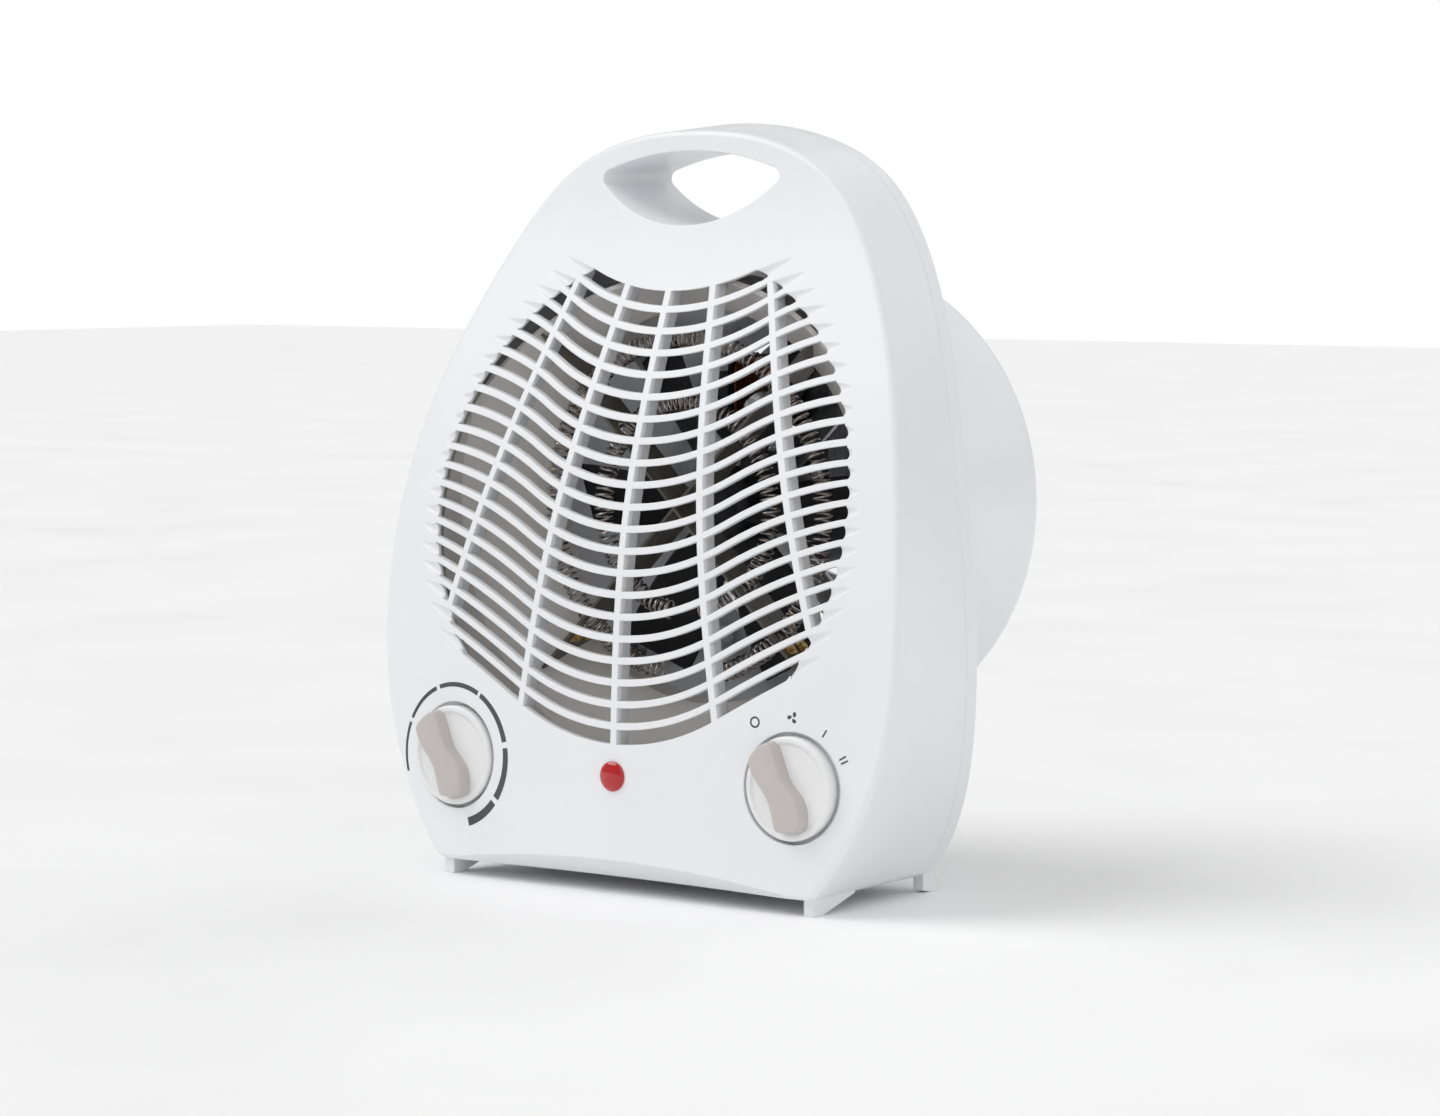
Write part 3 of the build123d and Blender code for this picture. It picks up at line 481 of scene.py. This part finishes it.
bm = bmesh.new()
dial = middle("thermostat_knob")
first, last = DIAL_SEGMENTS[0][0], DIAL_SEGMENTS[-1][1]
for start, end in DIAL_SEGMENTS:
    steps = 24
    angles = [start + (end - start) * k / steps for k in range(steps + 1)]
    widths = [DIAL_WIDTH[0] + (DIAL_WIDTH[1] - DIAL_WIDTH[0]) * ((first - a) / (first - last)) ** 1.3
              for a in angles]
    line = [around(dial, DIAL_R - width / 2, a) for a, width in zip(angles, widths)]
    stroke(bm, line, widths)
piece("thermostat_scale_print", bm, "housing", ink)

bm = bmesh.new()
switch = middle("selector_knob")
off_mark = around(switch, 25.4 * MM, 125)
ring_centre = Vector((off_mark.x, 0, off_mark.y))
stroke(bm, arc(ring_centre, 1.6 * MM, 0, 360, 32)[:-1], [0.6 * MM] * 32, closed=True)
fan_mark = around(switch, 23.2 * MM, 90)
fan_centre = Vector((fan_mark.x, 0, fan_mark.y))
for k in range(3):
    blade = 120 * k + 30
    line = [around(fan_centre, r * MM, blade + 30 * (r - 0.4)) for r in (0.4, 0.8, 1.2, 1.6, 1.9)]
    stroke(bm, line, [width * MM for width in (0.35, 0.9, 1.3, 1.2, 0.4)])
for angle, radius, offsets in ((57, 22.4, (0,)), (28.5, 22.2, (-1.9, 1.9))):
    for offset in offsets:
        line = [around(switch, (radius + reach) * MM, angle + offset) for reach in (-1.4, -0.5, 0.5, 1.4)]
        stroke(bm, line, [0.55 * MM] * 4)
piece("selector_marks_print", bm, "housing", ink)

# ---------------------------------------------------------------- stage, light and camera
floor_mesh = bpy.data.meshes.new("floor")
reach = 6.0
floor_mesh.from_pydata([(-reach, -reach, 0), (reach, -reach, 0), (reach, reach, 0), (-reach, reach, 0)],
                       [], [(0, 1, 2, 3)])
floor = bpy.data.objects.new("floor", floor_mesh)
bpy.context.scene.collection.objects.link(floor)
floor_mesh.materials.append(material("pale_floor", (0.97, 0.97, 0.97), (0.96, 0.96, 0.965), 0.6,
                                     tone_scale=3))


def soft_sun(name, towards_light, strength, spread):
    """Broad, even studio light from a direction; spread is in degrees."""
    data = bpy.data.lights.new(name, "SUN")
    data.energy = strength
    data.angle = math.radians(spread)
    lamp = bpy.data.objects.new(name, data)
    bpy.context.scene.collection.objects.link(lamp)
    lamp.rotation_euler = (-Vector(towards_light)).to_track_quat("-Z", "Y").to_euler()


soft_sun("key", (-0.6, -0.5, 0.95), 1.5, 50)
soft_sun("fill", (0.8, -0.45, 0.45), 0.7, 80)
soft_sun("back", (0.2, 0.9, 0.7), 0.5, 60)

# The room is bright white where it is seen and dimmer where it lights the object.
world = bpy.data.worlds.new("studio")
world.use_nodes = True
room = world.node_tree
seen = room.nodes.new("ShaderNodeLightPath")
level = room.nodes.new("ShaderNodeMapRange")
level.inputs["To Min"].default_value = ROOM_LIGHT
level.inputs["To Max"].default_value = 1.0
link(room, seen.outputs["Is Camera Ray"], level.inputs["Value"])
link(room, level.outputs["Result"], room.nodes["Background"].inputs["Strength"])
room.nodes["Background"].inputs["Color"].default_value = (1.0, 1.0, 1.0, 1.0)
bpy.context.scene.world = world

camera_data = bpy.data.cameras.new("camera")
camera_data.sensor_width = 36
camera_data.lens = CAMERA_LENS
camera_data.shift_x, camera_data.shift_y = CAMERA_SHIFT
camera = bpy.data.objects.new("camera", camera_data)
bpy.context.scene.collection.objects.link(camera)
backward = CAMERA_RIGHT.cross(CAMERA_UP)
camera.matrix_world = Matrix.Translation(CAMERA_AT) @ Matrix(
    (CAMERA_RIGHT, CAMERA_UP, backward)).transposed().to_4x4()
bpy.context.scene.camera = camera
bpy.context.scene.view_settings.view_transform = "Standard"
